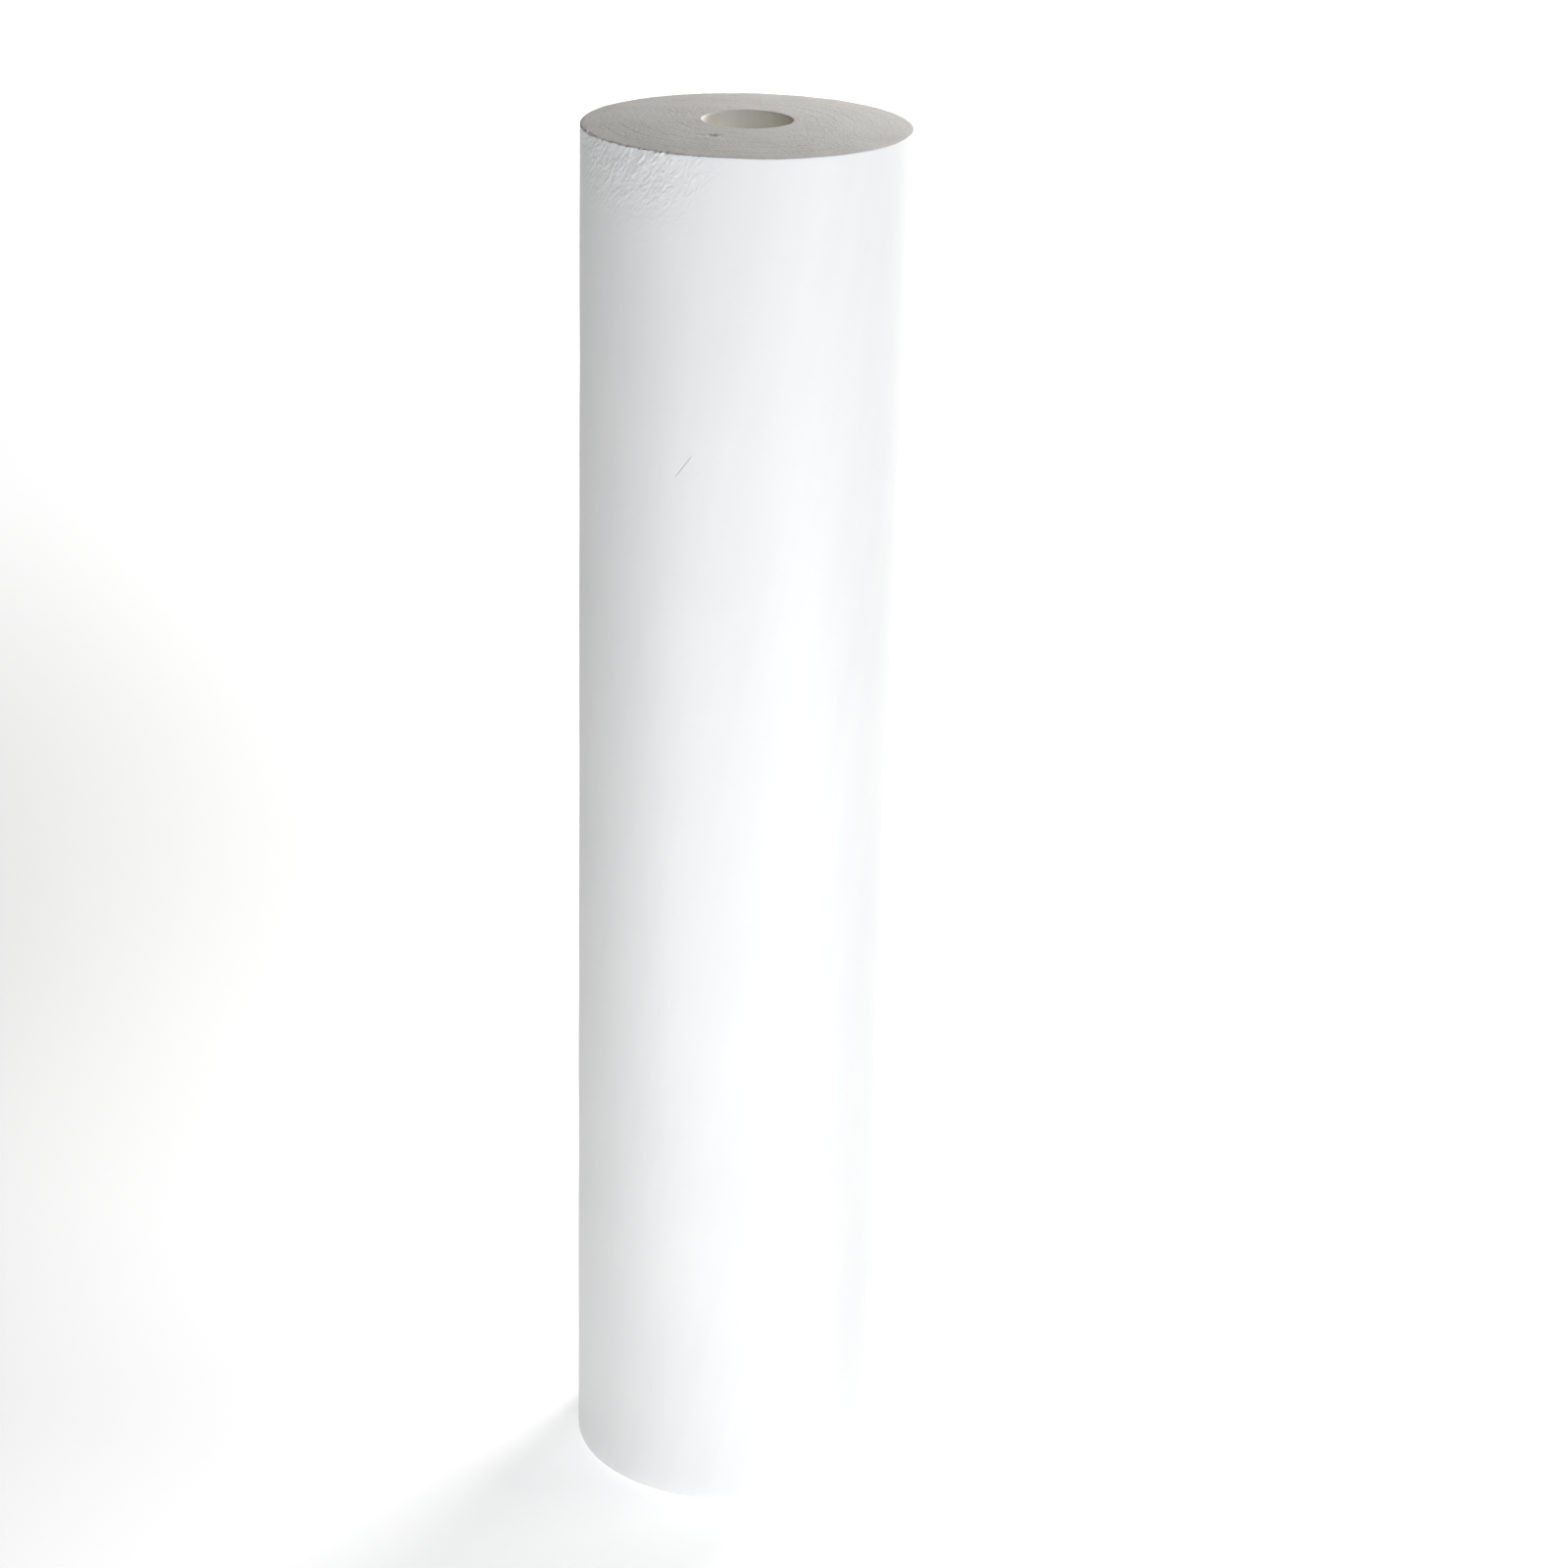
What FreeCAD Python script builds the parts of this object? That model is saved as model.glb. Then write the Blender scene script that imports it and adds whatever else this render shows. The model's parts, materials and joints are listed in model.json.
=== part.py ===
"""Foam roller: a round roll of white polyethylene foam with a bore right through it.

The foam is laid up as tubes, one bonded round the next, on a thin core sleeve that lines the bore. A smooth
dense skin covers the last one. One end is cut flat. The other end stands slightly proud round the bore.

Frame, in millimetres: the origin is at the centre of the flat end, and +Z runs up the bore.
"""

import FreeCAD
import Part

import math
import os

# Driving dimensions
OUTER_DIAMETER = 100.0
OVERALL_LENGTH = 450.0  # to the top of the proud end, at the mouth of the bore
BORE_DIAMETER = 27.0
SLEEVE_WALL = 2.0
SKIN_THICKNESS = 1.5
FOAM_PLIES = 6
END_CROWN = 1.6  # how far the rim of the upper end lies below the mouth of the bore
RIM_RADIUS = 0.4  # rounding of the skin's two outer edges
MOUTH_RADIUS = 0.6  # rounding of the bore's two mouths

# Worked out from those
OUTER_RADIUS = OUTER_DIAMETER / 2
BORE_RADIUS = BORE_DIAMETER / 2
SLEEVE_RADIUS = BORE_RADIUS + SLEEVE_WALL
FOAM_RADIUS = OUTER_RADIUS - SKIN_THICKNESS
PLY_THICKNESS = (FOAM_RADIUS - SLEEVE_RADIUS) / FOAM_PLIES

# The upper end is part of a sphere through the bore's mouth and the outer rim, centred on the axis.
RIM_SPREAD = OUTER_RADIUS**2 - BORE_RADIUS**2
MOUTH_ABOVE_CENTRE = (RIM_SPREAD / END_CROWN + END_CROWN) / 2
SPHERE_RADIUS = math.hypot(MOUTH_ABOVE_CENTRE, BORE_RADIUS)
SPHERE_CENTRE_Z = OVERALL_LENGTH - MOUTH_ABOVE_CENTRE

AXIS = FreeCAD.Vector(0, 0, 1)
ORIGIN = FreeCAD.Vector(0, 0, 0)


def upper_end(radius):
    """The point of the upper end's surface at that radius, in the XZ plane."""
    height = SPHERE_CENTRE_Z + math.sqrt(SPHERE_RADIUS**2 - radius**2)
    return FreeCAD.Vector(radius, 0, height)


def tube(inner, outer):
    """A closed tube between two radii, flat at z = 0 and crowned at its upper end."""
    low_inner = FreeCAD.Vector(inner, 0, 0)
    low_outer = FreeCAD.Vector(outer, 0, 0)
    crown = Part.Arc(upper_end(outer), upper_end((inner + outer) / 2), upper_end(inner))
    outline = [
        Part.LineSegment(low_inner, low_outer).toShape(),
        Part.LineSegment(low_outer, upper_end(outer)).toShape(),
        crown.toShape(),
        Part.LineSegment(upper_end(inner), low_inner).toShape(),
    ]
    face = Part.Face(Part.Wire(outline))
    return face.revolve(ORIGIN, AXIS, 360)


def end_edges(solid, radius):
    """The two round edges of a tube at that radius, one at each end."""
    circles = [edge for edge in solid.Edges if isinstance(edge.Curve, Part.Circle)]
    return [edge for edge in circles if math.isclose(edge.Curve.Radius, radius, abs_tol=1e-6)]


def core_sleeve():
    """The thin tube that the foam is laid up on. Its inside is the bore."""
    plain = tube(BORE_RADIUS, SLEEVE_RADIUS)
    return plain.makeFillet(MOUTH_RADIUS, end_edges(plain, BORE_RADIUS))


def foam_ply(number):
    """One tube of foam. Ply 1 is bonded to the sleeve, and the last one to the skin."""
    inner = SLEEVE_RADIUS + (number - 1) * PLY_THICKNESS
    return tube(inner, inner + PLY_THICKNESS)


def outer_skin():
    """The smooth dense cover of the roller's side, rounded at both rims."""
    plain = tube(FOAM_RADIUS, OUTER_RADIUS)
    return plain.makeFillet(RIM_RADIUS, end_edges(plain, OUTER_RADIUS))


def roller():
    """Every piece by its name, from the bore outwards."""
    pieces = {"core_sleeve": core_sleeve()}
    for number in range(1, FOAM_PLIES + 1):
        pieces[f"foam_ply_{number}"] = foam_ply(number)
    pieces["outer_skin"] = outer_skin()
    return pieces


os.makedirs("parts", exist_ok=True)
for name, shape in roller().items():
    print(f"{name}: valid {shape.isValid()}, {len(shape.Solids)} solid, {shape.Volume / 1000:.1f} cm3")
    shape.exportStep(f"parts/{name}.step")
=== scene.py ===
import json
import math

import bpy
from mathutils import Matrix, Vector


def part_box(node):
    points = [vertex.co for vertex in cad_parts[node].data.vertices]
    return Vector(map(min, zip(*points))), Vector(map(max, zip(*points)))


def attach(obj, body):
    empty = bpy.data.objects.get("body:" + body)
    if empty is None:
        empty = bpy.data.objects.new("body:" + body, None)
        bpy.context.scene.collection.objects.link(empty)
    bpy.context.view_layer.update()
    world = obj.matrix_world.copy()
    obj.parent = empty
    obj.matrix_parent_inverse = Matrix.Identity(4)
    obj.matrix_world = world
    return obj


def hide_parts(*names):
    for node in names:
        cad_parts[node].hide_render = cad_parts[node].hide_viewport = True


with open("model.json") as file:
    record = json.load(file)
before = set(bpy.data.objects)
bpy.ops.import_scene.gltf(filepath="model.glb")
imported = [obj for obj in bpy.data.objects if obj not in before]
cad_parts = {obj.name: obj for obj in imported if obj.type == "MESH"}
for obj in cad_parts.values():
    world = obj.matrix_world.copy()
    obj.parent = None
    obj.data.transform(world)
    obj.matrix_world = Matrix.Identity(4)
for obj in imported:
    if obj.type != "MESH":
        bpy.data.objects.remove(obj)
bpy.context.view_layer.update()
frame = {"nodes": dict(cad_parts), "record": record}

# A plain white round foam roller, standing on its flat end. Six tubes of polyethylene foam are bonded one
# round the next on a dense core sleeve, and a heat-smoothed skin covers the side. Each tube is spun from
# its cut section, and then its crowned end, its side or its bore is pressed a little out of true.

# ---------------------------------------------------------------- sizes, in metres, from the frame

MM = 0.001
PLY_NODES = sorted(name for name in frame["nodes"] if name.startswith("foam_ply"))
MOUNTS = {mount["name"]: mount for mount in frame["record"]["mounts"]}

OUTER_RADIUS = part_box("outer_skin")[1].x
BORE_RADIUS = MOUNTS["bore"]["dims"]["r_mm"] * MM
PLY_RADII = [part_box("core_sleeve")[1].x] + [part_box(name)[1].x for name in PLY_NODES]
BASE_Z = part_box("outer_skin")[0].z

# The crowned end falls with the square of the distance from the axis, from ply to ply.
FIRST_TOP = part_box(PLY_NODES[0])[1].z
LAST_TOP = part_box(PLY_NODES[-1])[1].z
CROWN = (FIRST_TOP - LAST_TOP) / (PLY_RADII[-2] ** 2 - PLY_RADII[0] ** 2)

RIM_ROUNDING = 0.4 * MM
MOUTH_ROUNDING = 0.6 * MM
PLY_EDGE = 0.03 * MM  # the cut edges of two plies stand this far back from their bond
ROUND_STEPS = 560  # faces round each tube
SMOOTH_ANGLE = math.radians(40)
HAIR = 0.1 * MM  # a distance too small to matter, for telling places apart

# The crowned end is slightly wavy and slightly rough, and has one small scar beside the bore.
END_WAVE, END_WAVE_DEPTH = 17 * MM, 0.3 * MM
END_GRAIN, END_GRAIN_DEPTH = 1.3 * MM, 0.1 * MM
NICK = Vector((-10.9 * MM, -23.8 * MM))
NICK_SIZE = 3.5 * MM
NICK_GRAIN, NICK_GRAIN_DEPTH = 1.8 * MM, 1.6 * MM
NICK_DROP = 0.35 * MM

# The side and the bore are nearly true.
SIDE_WAVE, SIDE_WAVE_DEPTH = 45 * MM, 0.35 * MM
BORE_WAVE, BORE_WAVE_DEPTH = 12 * MM, 0.3 * MM

# The skin is crumpled at the crowned end's rim, on the side towards -X and -Y, where it was cut.
CRUMPLE_DEPTH = 24 * MM  # how far down the side it reaches
CRUMPLE_FROM, CRUMPLE_TO = 10, 85  # degrees from -Y towards -X
CRUMPLE_MIDDLE = (CRUMPLE_FROM + CRUMPLE_TO) / 2
CRUMPLE_ROWS, SIDE_ROWS = 44, 70  # rows of faces down the crumple, and in each row of the side
FOLD, FOLD_DEPTH = 1.0 * MM, 0.17 * MM
LUMP, LUMP_DEPTH = 5 * MM, 0.35 * MM
RAG, RAG_DEPTH = 1.1 * MM, 1.7 * MM  # the ragged rim

# Patterns in the foam.
FOAM_IOR = 1.5
CUT_CELL = 1.1 * MM
CUT_CLOUD = 14 * MM
DRAW_LINE = 7 * MM
WINDING = 4.2  # radians a metre: how fast the skin's draw lines wind to the right as they rise
SKIN_CLOUD = 45 * MM
SKIN_CELL = 1.6 * MM
SKIN_GRAIN = 0.5 * MM
DIE_LINE = 1.5 * MM  # the lines along the bore
CREASE = 1.1 * MM
CREASE_TURN = math.radians(90 + CRUMPLE_MIDDLE)  # turns the crumple's middle to +X
CREASE_RISE = math.radians(-40)  # how far the creases lean to the right of straight up
SCRATCH_TURN = math.radians(110)  # turns the scratch to +X
SCRATCH_RISE = math.radians(-36)
SCRATCH_Z = 356 * MM


def top_at(radius):
    """The height of the crowned end at that distance from the axis."""
    return FIRST_TOP - CROWN * (radius**2 - PLY_RADII[0] ** 2)


RIM_Z = top_at(OUTER_RADIUS)


def ease(value, low, high):
    """Rises smoothly from 0 at low to 1 at high."""
    part = min(max((value - low) / (high - low), 0), 1)
    return part * part * (3 - 2 * part)


def round_at(point):
    """A point's distance from the axis."""
    return math.hypot(point.x, point.y)


# ---------------------------------------------------------------- camera

CAMERA_BACK = 1.0452
CAMERA_HEIGHT = 0.6522
CAMERA_PITCH = 21.68  # degrees below the horizon
CAMERA_YAW = 0.86  # degrees to the right
CAMERA_ROLL = 1.38
LENS = 80.45


def make_camera():
    """The camera stands in front of the roller, looking down at it and slightly tilted."""
    data = bpy.data.cameras.new("camera")
    data.lens = LENS
    data.sensor_width = 36
    data.clip_start, data.clip_end = 0.05, 60
    camera = bpy.data.objects.new("camera", data)
    bpy.context.scene.collection.objects.link(camera)
    turn = (
        Matrix.Rotation(-math.radians(CAMERA_YAW), 4, "Z")
        @ Matrix.Rotation(math.radians(90 - CAMERA_PITCH), 4, "X")
        @ Matrix.Rotation(math.radians(CAMERA_ROLL), 4, "Z")
    )
    camera.matrix_world = Matrix.Translation((0, -CAMERA_BACK, CAMERA_HEIGHT)) @ turn
    bpy.context.scene.camera = camera


# ---------------------------------------------------------------- materials


def paint(code):
    """An sRGB hex colour as linear RGBA."""
    parts = [int(code[i : i + 2], 16) / 255 for i in (1, 3, 5)]
    return [c / 12.92 if c <= 0.04045 else ((c + 0.055) / 1.055) ** 2.4 for c in parts] + [1]


def add(tree, kind, settings=None, **links):
    """Adds a node. settings are its properties or input values, and links feed its inputs from sockets."""
    node = tree.nodes.new(kind)
    for name, value in (settings or {}).items():
        if isinstance(name, int) or name in node.inputs:
            node.inputs[name].default_value = value
        else:
            setattr(node, name, value)
    for name, source in links.items():
        place = int(name[1:]) if name[0] == "i" and name[1:].isdigit() else name.replace("_", " ")
        tree.links.new(source, node.inputs[place])
    return node


def new_material(name, roughness, subsurface, scale_mm):
    """A foam, with that share of the light passing into it. Gives the material, its tree and its shader."""
    material = bpy.data.materials.new(name)
    material.use_nodes = True
    tree = material.node_tree
    shader = tree.nodes["Principled BSDF"]
    shader.inputs["Roughness"].default_value = roughness
    shader.inputs["IOR"].default_value = FOAM_IOR
    shader.inputs["Subsurface Weight"].default_value = subsurface
    shader.inputs["Subsurface Scale"].default_value = scale_mm * MM
    shader.inputs["Subsurface Radius"].default_value = (1.0, 0.9, 0.8)
    return material, tree, shader


def height_bump(tree, height, strength, distance, normal=None, inwards=False):
    """A bump of that distance on top of another bump's normal. Gives its normal."""
    settings = {"Strength": strength, "Distance": distance, "invert": inwards}
    links = {"Height": height}
    if normal is not None:
        links["Normal"] = normal
    return add(tree, "ShaderNodeBump", settings, **links).outputs[0]


def spread(tree, value, low, high, to_low=0.0, to_high=1.0, kind="LINEAR"):
    """The value, brought from low..high to the other range and held at its ends."""
    settings = {"interpolation_type": kind, "From Min": low, "From Max": high, "To Min": to_low,
                "To Max": to_high}
    return add(tree, "ShaderNodeMapRange", settings, Value=value).outputs[0]


def math_of(tree, operation, settings=None, **links):
    """One sum on values. Gives its result."""
    return add(tree, "ShaderNodeMath", {"operation": operation, **(settings or {})}, **links).outputs[0]


def ramp_of(tree, height, low, high, low_colour, high_colour):
    """A colour that goes from one to the other as the height goes from low to high."""
    ramp = add(tree, "ShaderNodeValToRGB", Fac=height)
    ramp.color_ramp.elements[0].position = low
    ramp.color_ramp.elements[0].color = paint(low_colour)
    ramp.color_ramp.elements[1].position = high
    ramp.color_ramp.elements[1].color = paint(high_colour)
    return ramp.outputs["Color"]


def cut_end(tree):
    """1 on the cut ends, where the surface faces up or down, and 0 on the side and in the bore."""
    facing = add(tree, "ShaderNodeSeparateXYZ", i0=add(tree, "ShaderNodeTexCoord").outputs["Normal"])
    steep = math_of(tree, "ABSOLUTE", i0=facing.outputs["Z"])
    return spread(tree, steep, 0.75, 0.97)


def cut_colour(tree, here):
    """The colour of foam cut across: small cut cells in soft clouds. Gives the cells' height too."""
    cells = add(tree, "ShaderNodeTexVoronoi", {"feature": "F1", "Scale": 1 / CUT_CELL}, Vector=here)
    clouds = add(tree, "ShaderNodeTexNoise", {"Scale": 1 / CUT_CLOUD, "Detail": 3.0}, Vector=here)
    height = cells.outputs["Distance"]
    tone = math_of(tree, "MULTIPLY_ADD", {1: 0.45}, i0=height, i2=clouds.outputs[0])
    return ramp_of(tree, tone, 0.45, 0.95, "#E4E1DB", "#ECEAE5"), height


def scratch(tree, here):
    """1 along one faint scratch in the skin, a third of a millimetre wide, and 0 elsewhere."""
    turn = {"rotation_type": "Z_AXIS", "Angle": SCRATCH_TURN}
    turned = add(tree, "ShaderNodeVectorRotate", turn, Vector=here)
    middle = (OUTER_RADIUS, 0, SCRATCH_Z)
    line = {"vector_type": "TEXTURE", "Rotation": (SCRATCH_RISE, 0, 0), "Location": middle}
    along = add(tree, "ShaderNodeMapping", line, Vector=turned.outputs[0])
    place = add(tree, "ShaderNodeSeparateXYZ", i0=along.outputs[0])
    sides = []
    for axis, full, faded in (("X", 1 * MM, 2 * MM), ("Y", 0.1 * MM, 0.25 * MM), ("Z", 3 * MM, 4.5 * MM)):
        off = math_of(tree, "ABSOLUTE", i0=place.outputs[axis])
        sides.append(spread(tree, off, full, faded, 1.0, 0.0))
    flat = math_of(tree, "MULTIPLY", i0=sides[0], i1=sides[1])
    return math_of(tree, "MULTIPLY", i0=flat, i1=sides[2])


def creases(tree, here, height):
    """Short strokes that run up and to the right, only near the crumpled rim. 1 is their top."""
    below = spread(tree, height, RIM_Z - CRUMPLE_DEPTH * 1.4, RIM_Z - 3 * MM, kind="SMOOTHSTEP")
    turn = {"rotation_type": "Z_AXIS", "Angle": CREASE_TURN}
    turned = add(tree, "ShaderNodeVectorRotate", turn, Vector=here)
    aside = add(tree, "ShaderNodeSeparateXYZ", i0=turned.outputs[0])
    around = spread(tree, aside.outputs["X"], 0.7 * OUTER_RADIUS, 0.93 * OUTER_RADIUS, kind="SMOOTHSTEP")
    crumpled = math_of(tree, "MULTIPLY", i0=below, i1=around)
    stroke = {"vector_type": "TEXTURE", "Rotation": (CREASE_RISE, 0, 0), "Scale": (1.0, 1.0, 3.0)}
    along = add(tree, "ShaderNodeMapping", stroke, Vector=turned.outputs[0])
    noise = {"Scale": 1 / CREASE, "Detail": 3.0, "Distortion": 0.6}
    strokes = add(tree, "ShaderNodeTexNoise", noise, Vector=along.outputs[0])
    sharp = spread(tree, strokes.outputs[0], 0.42, 0.66)
    return math_of(tree, "MULTIPLY", i0=sharp, i1=crumpled)


def skin_foam():
    """Heat-smoothed skin of polyethylene foam. The drawn skin is satin, with faint slanting draw lines,
    closed cells just showing through, and fine creases where it was crumpled at the crowned end."""
    material, tree, shader = new_material("polyethylene_foam_skin", 0.5, 0.1, 2.0)
    here = add(tree, "ShaderNodeTexCoord").outputs["Object"]
    height = add(tree, "ShaderNodeSeparateXYZ", i0=here).outputs["Z"]

    # The draw lines wind round the roller as they rise, so the pattern is unwound before it is drawn out.
    unwind = math_of(tree, "MULTIPLY", {1: -WINDING}, i0=height)
    unwound = add(tree, "ShaderNodeVectorRotate", {"rotation_type": "Z_AXIS"}, Vector=here, Angle=unwind)
    drawn = add(tree, "ShaderNodeMapping", {"Scale": (1.0, 1.0, 0.05)}, Vector=unwound.outputs[0])
    noise = add(tree, "ShaderNodeTexNoise", {"Scale": 1 / DRAW_LINE, "Detail": 5.0}, Vector=drawn.outputs[0])
    lines = noise.outputs[0]
    clouds = add(tree, "ShaderNodeTexNoise", {"Scale": 1 / SKIN_CLOUD, "Detail": 2.0}, Vector=here)
    tone = math_of(tree, "MULTIPLY", {1: 0.5}, i0=lines)
    tone = math_of(tree, "MULTIPLY_ADD", {1: 0.5}, i0=clouds.outputs[0], i2=tone)
    drawn_skin = ramp_of(tree, tone, 0.32, 0.68, "#F0F1F1", "#F5F5F4")
    on_end = cut_end(tree)
    end_colour, _ = cut_colour(tree, here)
    colour = add(tree, "ShaderNodeMix", {"data_type": "RGBA"}, i0=on_end, i6=drawn_skin, i7=end_colour)
    tree.links.new(colour.outputs[2], shader.inputs["Base Color"])
    satin = spread(tree, lines, 0.3, 0.7, 0.44, 0.58)
    matt = add(tree, "ShaderNodeMix", {"B": 0.85}, Factor=on_end, A=satin)
    tree.links.new(matt.outputs[0], shader.inputs["Roughness"])

    cells = add(tree, "ShaderNodeTexVoronoi", {"feature": "SMOOTH_F1", "Scale": 1 / SKIN_CELL}, Vector=here)
    grain = add(tree, "ShaderNodeTexNoise", {"Scale": 1 / SKIN_GRAIN, "Detail": 3.0}, Vector=here)
    normal = height_bump(tree, grain.outputs[0], 0.12, 0.1 * MM)
    normal = height_bump(tree, cells.outputs["Distance"], 0.1, 0.3 * MM, normal)
    normal = height_bump(tree, creases(tree, here, height), 0.35, 0.3 * MM, normal)
    normal = height_bump(tree, lines, 0.15, 0.5 * MM, normal)
    normal = height_bump(tree, scratch(tree, here), 0.8, 0.25 * MM, normal, inwards=True)
    tree.links.new(normal, shader.inputs["Normal"])
    return material


def cut_foam():
    """Polyethylene foam cut across: matt, greyer than the skin, with small cut cells and faint clouds."""
    material, tree, shader = new_material("polyethylene_foam_cut", 0.85, 0.1, 2.0)
    here = add(tree, "ShaderNodeTexCoord").outputs["Object"]
    colour, cells = cut_colour(tree, here)
    tree.links.new(colour, shader.inputs["Base Color"])
    tree.links.new(height_bump(tree, cells, 0.25, 0.3 * MM), shader.inputs["Normal"])
    return material


def core_foam():
    """Dense extruded polyethylene foam. Its cut ends look like the plies', and its bore is creamier and
    smooth, with faint lines along it from the die."""
    material, tree, shader = new_material("dense_polyethylene_foam", 0.75, 0.0, 0.8)
    here = add(tree, "ShaderNodeTexCoord").outputs["Object"]
    drawn = add(tree, "ShaderNodeMapping", {"Scale": (1.0, 1.0, 0.04)}, Vector=here)
    lines = add(tree, "ShaderNodeTexNoise", {"Scale": 1 / DIE_LINE, "Detail": 4.0}, Vector=drawn.outputs[0])
    bore = ramp_of(tree, lines.outputs[0], 0.3, 0.7, "#F8F4E8", "#FDFAF1")
    end, _ = cut_colour(tree, here)
    colour = add(tree, "ShaderNodeMix", {"data_type": "RGBA"}, i0=cut_end(tree), i6=bore, i7=end)
    tree.links.new(colour.outputs[2], shader.inputs["Base Color"])
    tree.links.new(height_bump(tree, lines.outputs[0], 0.2, 0.2 * MM), shader.inputs["Normal"])
    return material


# ---------------------------------------------------------------- modelling


def start_fresh():
    """Leaves object mode with nothing selected."""
    if bpy.context.mode != "OBJECT":
        bpy.ops.object.mode_set(mode="OBJECT")
    bpy.ops.object.select_all(action="DESELECT")


def pick(piece, kind, test):
    """Selects the vertices, edges or faces whose middle passes the test, and goes into edit mode."""
    bpy.ops.object.mode_set(mode="EDIT")
    bpy.ops.mesh.select_mode(type=kind)
    bpy.ops.mesh.select_all(action="DESELECT")
    bpy.ops.object.mode_set(mode="OBJECT")
    mesh = piece.data
    if kind == "VERT":
        for vertex in mesh.vertices:
            vertex.select = test(vertex.co)
    elif kind == "EDGE":
        for edge in mesh.edges:
            ends = [mesh.vertices[i].co for i in edge.vertices]
            edge.select = test(*ends)
    else:
        for face in mesh.polygons:
            face.select = test(face.center)
    bpy.ops.object.mode_set(mode="EDIT")


def tube_outline(name, inner, outer):
    """The cut section of one tube, an outline in the XZ plane: flat below, sloping with the crown above."""
    start_fresh()
    height = top_at(inner) - BASE_Z
    middle = ((inner + outer) / 2, 0, BASE_Z + height / 2)
    bpy.ops.mesh.primitive_plane_add(size=1, location=middle, rotation=(math.pi / 2, 0, 0))
    piece = bpy.context.object
    piece.name = piece.data.name = name
    piece.scale = (outer - inner, height, 1)
    bpy.ops.object.transform_apply(location=True, rotation=True, scale=True)
    near_top = BASE_Z + height / 2
    pick(piece, "VERT", lambda co: co.z > near_top and co.x > middle[0])
    bpy.ops.transform.translate(value=(0, 0, top_at(outer) - top_at(inner)))
    bpy.ops.mesh.select_all(action="SELECT")
    bpy.ops.mesh.delete(type="ONLY_FACE")
    return piece


def round_corners(piece, radius, size, segments):
    """Rounds the two corners of the outline that lie at that radius."""
    pick(piece, "VERT", lambda co: abs(co.x - radius) < 0.01 * MM)
    bpy.ops.mesh.bevel(offset=size, segments=segments, affect="VERTICES", profile=0.5)


def divide(piece, cuts, test):
    """Divides the outline's edges that pass the test."""
    pick(piece, "EDGE", test)
    bpy.ops.mesh.subdivide(number_cuts=cuts)


def spin_round(piece):
    """Turns the outline once round the axis into a closed tube with its faces outwards."""
    bpy.ops.object.mode_set(mode="EDIT")
    bpy.ops.mesh.select_mode(type="VERT")
    bpy.ops.mesh.select_all(action="SELECT")
    bpy.ops.mesh.spin(steps=ROUND_STEPS, angle=2 * math.pi, center=(0, 0, 0), axis=(0, 0, 1))
    bpy.ops.mesh.select_all(action="SELECT")
    bpy.ops.mesh.remove_doubles(threshold=0.005 * MM)
    bpy.ops.mesh.normals_make_consistent(inside=False)
    bpy.ops.object.mode_set(mode="OBJECT")
    bpy.ops.object.shade_smooth_by_angle(angle=SMOOTH_ANGLE)


def level(a, b):
    """True for an edge of an end face: it runs outwards and hardly up or down."""
    return abs(a.x - b.x) > 0.5 * MM and abs(a.z - b.z) < 1 * MM


def weigh(piece, name, rule):
    """A vertex group whose weights are what the rule gives at each vertex, from 0 to 1."""
    group = piece.vertex_groups.new(name=name)
    for vertex in piece.data.vertices:
        weight = rule(vertex.co)
        if weight > 0.001:
            group.add([vertex.index], weight, "REPLACE")


def relief(kind, size, **settings):
    """A procedural height pattern of that size, in metres."""
    texture = bpy.data.textures.new("relief", kind)
    texture.noise_scale = size
    for name, value in settings.items():
        setattr(texture, name, value)
    return texture


def press(piece, group, depth, pattern=None, direction="NORMAL", along=None):
    """Moves the group's vertices by the pattern, depth from its lowest to its highest, and applies it."""
    modifier = piece.modifiers.new("press", "DISPLACE")
    modifier.vertex_group = group
    modifier.strength = depth
    modifier.direction = direction
    modifier.mid_level = 0.5 if pattern else 0.0
    if pattern:
        modifier.texture = pattern
        modifier.texture_coords = "OBJECT" if along else "LOCAL"
        modifier.texture_coords_object = along
    bpy.ops.object.modifier_apply(modifier=modifier.name)


def on_crown(point):
    """1 on the crowned end, fading out down a rounded rim."""
    return 1 - ease(top_at(round_at(point)) - point.z, 0.3 * MM, 1.2 * MM)


def in_nick(point):
    """1 in the middle of the crowned end's scar, which is longer across than deep."""
    offset = Vector((point.x, point.y)) - NICK
    return on_crown(point) * (1 - ease(math.hypot(offset.x * 0.7, offset.y * 1.6), 0, NICK_SIZE))


def roughen_crown(piece):
    """The crowned end as it was cut: slightly wavy, slightly rough and with one small scar."""
    weigh(piece, "crown", on_crown)
    weigh(piece, "nick", in_nick)
    press(piece, "crown", END_WAVE_DEPTH, relief("CLOUDS", END_WAVE, noise_depth=1), "Z")
    press(piece, "crown", END_GRAIN_DEPTH, relief("CLOUDS", END_GRAIN, noise_depth=2), "Z")
    press(piece, "nick", NICK_GRAIN_DEPTH, relief("CLOUDS", NICK_GRAIN, noise_depth=2), "Z")
    press(piece, "nick", -NICK_DROP, direction="Z")


def on_side(point):
    """1 on the roller's side, fading out round its rims."""
    return ease(round_at(point), OUTER_RADIUS - 0.7 * MM, OUTER_RADIUS - 0.05 * MM)


def turn_of(point):
    """Degrees from -Y towards -X round the axis."""
    return math.degrees(math.atan2(-point.x, -point.y))


def around_crumple(point):
    """1 in the middle of the crumple, fading out round the roller."""
    turn = turn_of(point)
    return ease(turn, CRUMPLE_FROM, CRUMPLE_MIDDLE - 8) * (1 - ease(turn, CRUMPLE_MIDDLE + 8, CRUMPLE_TO))


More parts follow.
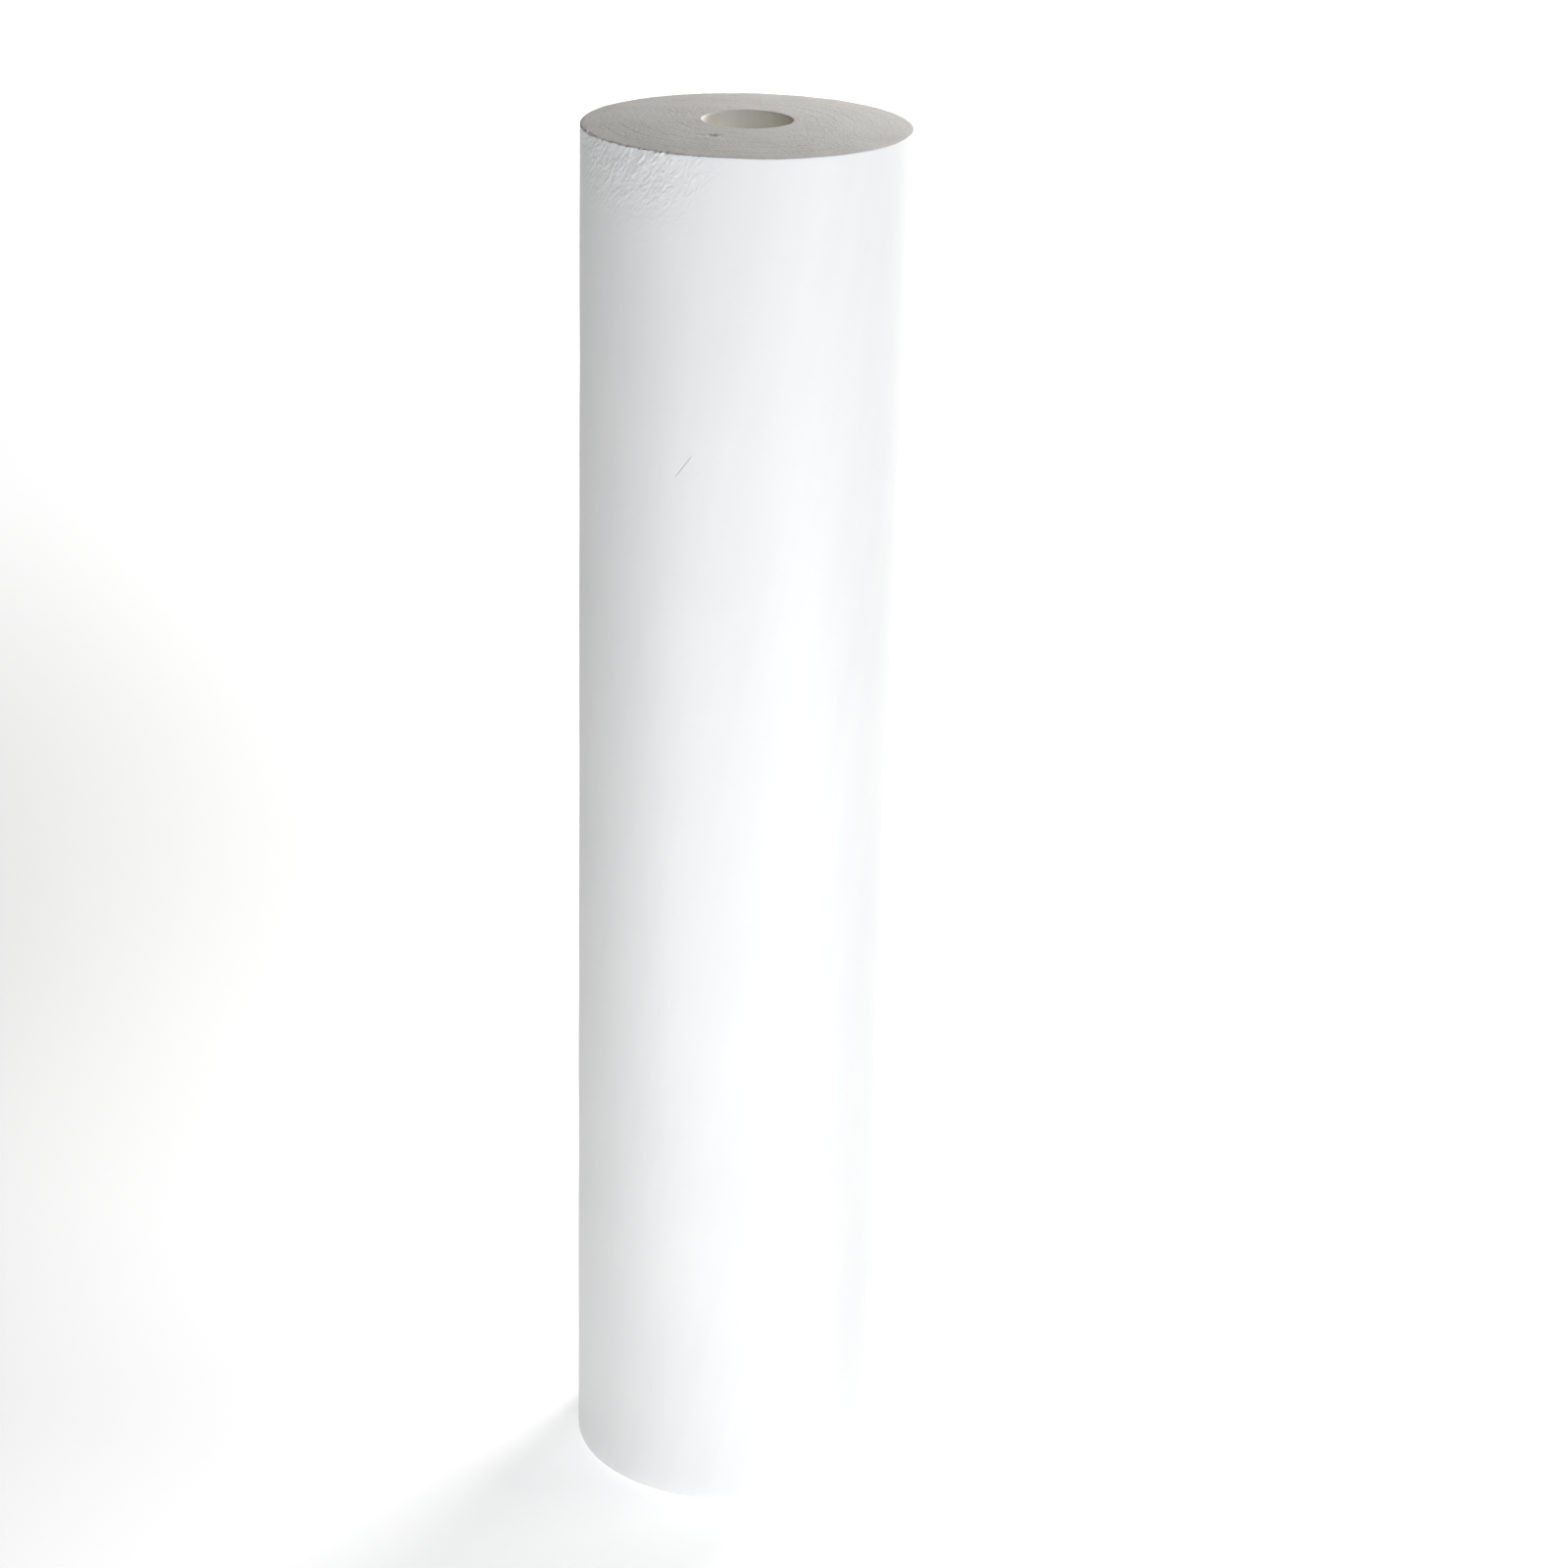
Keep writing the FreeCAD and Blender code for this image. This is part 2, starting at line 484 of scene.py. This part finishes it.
def in_crumple(point):
    """1 at the rim where the skin is crumpled most, fading out round and down the side."""
    return on_side(point) * around_crumple(point) * (1 - ease(RIM_Z - point.z, 2 * MM, CRUMPLE_DEPTH))


def on_ragged_rim(point):
    """1 on the rim at the crumple, and a little all round the roller."""
    if round_at(point) < OUTER_RADIUS - 0.8 * MM:
        return 0
    turn = turn_of(point)
    around = 0.12 + 0.88 * ease(turn, CRUMPLE_FROM, 35) * (1 - ease(turn, 70, CRUMPLE_TO))
    return around * (1 - ease(RIM_Z - point.z, 0.4 * MM, 2.4 * MM))


def crease_grain():
    """A guide that stretches a pattern along the creases, which run up the side and to the right."""
    guide = bpy.data.objects.new("crease_grain", None)
    bpy.context.scene.collection.objects.link(guide)
    across = Matrix.Rotation(math.radians(-45), 4, "Z")  # its X runs along the side at the crumple
    rise = Matrix.Rotation(math.radians(-55), 4, "Y")
    stretch = Matrix.Diagonal((4.0, 2.0, 1.0, 1.0))
    guide.matrix_world = across @ rise @ stretch
    bpy.context.view_layer.update()
    return guide


def finish_piece(piece, material, node):
    """Gives the piece its foam, and puts it in the place of its CAD node."""
    piece.data.materials.clear()
    piece.data.materials.append(material)
    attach(piece, "root")
    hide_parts(node)


def core_sleeve(material):
    piece = tube_outline("core_sleeve_tube", BORE_RADIUS, PLY_RADII[0])
    round_corners(piece, BORE_RADIUS, MOUTH_ROUNDING, 4)
    divide(piece, 60, lambda a, b: abs(a.z - b.z) > 100 * MM and a.x < BORE_RADIUS + HAIR)
    divide(piece, 2, level)
    spin_round(piece)
    roughen_crown(piece)
    fade_from, fade_to = BORE_RADIUS + HAIR, BORE_RADIUS + 0.9 * MM
    weigh(piece, "bore", lambda point: 1 - ease(round_at(point), fade_from, fade_to))
    press(piece, "bore", BORE_WAVE_DEPTH, relief("CLOUDS", BORE_WAVE, noise_depth=2))
    finish_piece(piece, material, "core_sleeve")


def foam_ply(number, material):
    inner, outer = PLY_RADII[number], PLY_RADII[number + 1]
    piece = tube_outline(f"foam_ply_{number + 1}_tube", inner, outer)
    round_corners(piece, inner, PLY_EDGE, 1)
    round_corners(piece, outer, PLY_EDGE, 1)
    divide(piece, 10, level)
    spin_round(piece)
    roughen_crown(piece)
    finish_piece(piece, material, PLY_NODES[number])


def outer_skin(material):
    piece = tube_outline("outer_skin_tube", PLY_RADII[-1], OUTER_RADIUS)
    round_corners(piece, OUTER_RADIUS, RIM_ROUNDING, 5)
    fine_from = RIM_Z - CRUMPLE_DEPTH
    bpy.ops.mesh.select_all(action="SELECT")
    bpy.ops.mesh.bisect(plane_co=(0, 0, fine_from), plane_no=(0, 0, 1))
    outside = OUTER_RADIUS - HAIR

    def beside_crumple(a, b):
        tall = abs(a.z - b.z) > RIM_ROUNDING
        return tall and min(a.x, b.x) > outside and min(a.z, b.z) > fine_from - HAIR

    divide(piece, CRUMPLE_ROWS, beside_crumple)
    divide(piece, SIDE_ROWS, lambda a, b: min(a.x, b.x) > outside and abs(a.z - b.z) > 100 * MM)
    spin_round(piece)
    pick(piece, "FACE", lambda middle: middle.z > fine_from + 2 * MM and around_crumple(middle) > 0)
    bpy.ops.mesh.subdivide(number_cuts=1)
    bpy.ops.object.mode_set(mode="OBJECT")
    roughen_crown(piece)
    weigh(piece, "side", on_side)
    weigh(piece, "crumple", in_crumple)
    weigh(piece, "ragged", on_ragged_rim)
    press(piece, "side", SIDE_WAVE_DEPTH, relief("CLOUDS", SIDE_WAVE, noise_depth=1))
    grain = crease_grain()
    folds = relief("DISTORTED_NOISE", FOLD, noise_basis="VORONOI_F2_F1", noise_distortion="BLENDER_ORIGINAL",
                   distortion=1.0)
    press(piece, "crumple", FOLD_DEPTH, folds, along=grain)
    press(piece, "crumple", LUMP_DEPTH, relief("CLOUDS", LUMP, noise_depth=2))
    press(piece, "ragged", RAG_DEPTH, relief("CLOUDS", RAG, noise_depth=3), "Z")
    bpy.data.objects.remove(grain)
    finish_piece(piece, material, "outer_skin")


# ---------------------------------------------------------------- floor and light


FLOOR_SIZE = 30
# Painted light: the floor's glow lights the roller from below. It is weaker to the left of the roller, which
# is painted shade on the floor there and keeps the roller's left side darker. It is stronger far from the
# roller and in a widening strip behind it, which is a painted pool of light where the lamps don't reach.
PAINTED_GLOW_LEFT, PAINTED_GLOW_RIGHT = 0.33, 0.61  # beside the roller, for X from -0.5 to -0.1
PAINTED_GLOW_AROUND = 0.36  # added far from the roller
PAINTED_GLOW_BEHIND = 0.41  # added far behind it, in a strip that widens with the distance


def make_floor():
    """A white floor with painted light: it glows a little and lights the roller from below, more weakly to
    the left of the roller than to the right, and more far from the roller and in a strip behind it.
    """
    start_fresh()
    bpy.ops.mesh.primitive_plane_add(size=FLOOR_SIZE, location=(0, 0, BASE_Z))
    floor = bpy.context.object
    floor.name = "floor"
    material = bpy.data.materials.new("white_floor_painted_glow")
    material.use_nodes = True
    tree = material.node_tree
    shader = tree.nodes["Principled BSDF"]
    shader.inputs["Base Color"].default_value = paint("#F0F0F0")
    shader.inputs["Roughness"].default_value = 0.9
    shader.inputs["Specular IOR Level"].default_value = 0.0
    shader.inputs["Emission Color"].default_value = (1, 1, 1, 1)
    here = add(tree, "ShaderNodeTexCoord").outputs["Object"]
    place = add(tree, "ShaderNodeSeparateXYZ", i0=here)
    # Painted light: the emission is dimmer left of the roller, grows with the distance from it, and grows
    # more in a widening strip behind it.
    across = spread(tree, place.outputs["X"], -0.5, -0.1, PAINTED_GLOW_LEFT, PAINTED_GLOW_RIGHT, "SMOOTHSTEP")
    away = add(tree, "ShaderNodeVectorMath", {"operation": "LENGTH"}, i0=here).outputs["Value"]
    round_about = spread(tree, away, 0.42, 1.25, 0.0, PAINTED_GLOW_AROUND, "SMOOTHSTEP")
    behind = spread(tree, place.outputs["Y"], 0.3, 2.2, 0.0, PAINTED_GLOW_BEHIND, "SMOOTHSTEP")
    half_width = math_of(tree, "MULTIPLY_ADD", {1: 0.3, 2: 0.315}, i0=place.outputs["Y"])
    off_middle = math_of(tree, "ABSOLUTE", i0=place.outputs["X"])
    room = math_of(tree, "SUBTRACT", i0=half_width, i1=off_middle)
    in_strip = spread(tree, room, -0.15, 0.0, 0.0, 1.0, "SMOOTHSTEP")
    painted_glow = math_of(tree, "MULTIPLY_ADD", i0=behind, i1=in_strip, i2=across)
    painted_glow = math_of(tree, "ADD", i0=painted_glow, i1=round_about)
    tree.links.new(painted_glow, shader.inputs["Emission Strength"])
    floor.data.materials.append(material)


def softbox(name, place, aim, width, height, power, colour):
    """A rectangular panel light in watts, which the camera doesn't see."""
    data = bpy.data.lights.new(name, "AREA")
    data.shape = "RECTANGLE"
    data.size, data.size_y = width, height
    data.energy = power
    data.color = paint(colour)[:3]
    light = bpy.data.objects.new(name, data)
    bpy.context.scene.collection.objects.link(light)
    place = Vector(place)
    aim_turn = (Vector(aim) - place).to_track_quat("-Z", "Y")
    light.matrix_world = Matrix.Translation(place) @ aim_turn.to_matrix().to_4x4()
    light.visible_camera = False


def light_studio():
    """Six soft panels and no light from the surroundings."""
    softbox("right", (0.45, 0, 0.9), (0, 0, 0.45), 0.25, 0.25, 1.0, "#FFFEFC")
    softbox("front", (0.35, -1.25, 0.95), (0, 0, 0.4), 0.5, 0.5, 3.7, "#F1F5FF")
    softbox("far_back", (0.6, 0.9, 0.8), (0, 0, 0.45), 0.4, 0.4, 8.0, "#FFFEFC")
    softbox("near_back", (0.25, 0.5, 0.6), (0, 0, 0.45), 0.2, 0.2, 1.5, "#FFFEFC")
    softbox("low_right", (0.42, -0.5, 0.06), (0, 0, 0.12), 0.3, 0.1, 1.27, "#FFFFFF")
    softbox("low_left", (-0.35, -0.55, 0.05), (0, 0, 0.1), 0.3, 0.08, 1.0, "#FFFFFF")
    world = bpy.data.worlds.new("studio")
    world.use_nodes = True
    world.node_tree.nodes["Background"].inputs["Color"].default_value = (0, 0, 0, 1)
    bpy.context.scene.world = world
    bpy.context.scene.view_settings.view_transform = "Standard"


make_camera()
core_sleeve(core_foam())
CUT_FOAM = cut_foam()
for ply in range(len(PLY_NODES)):
    foam_ply(ply, CUT_FOAM)
outer_skin(skin_foam())
make_floor()
light_studio()
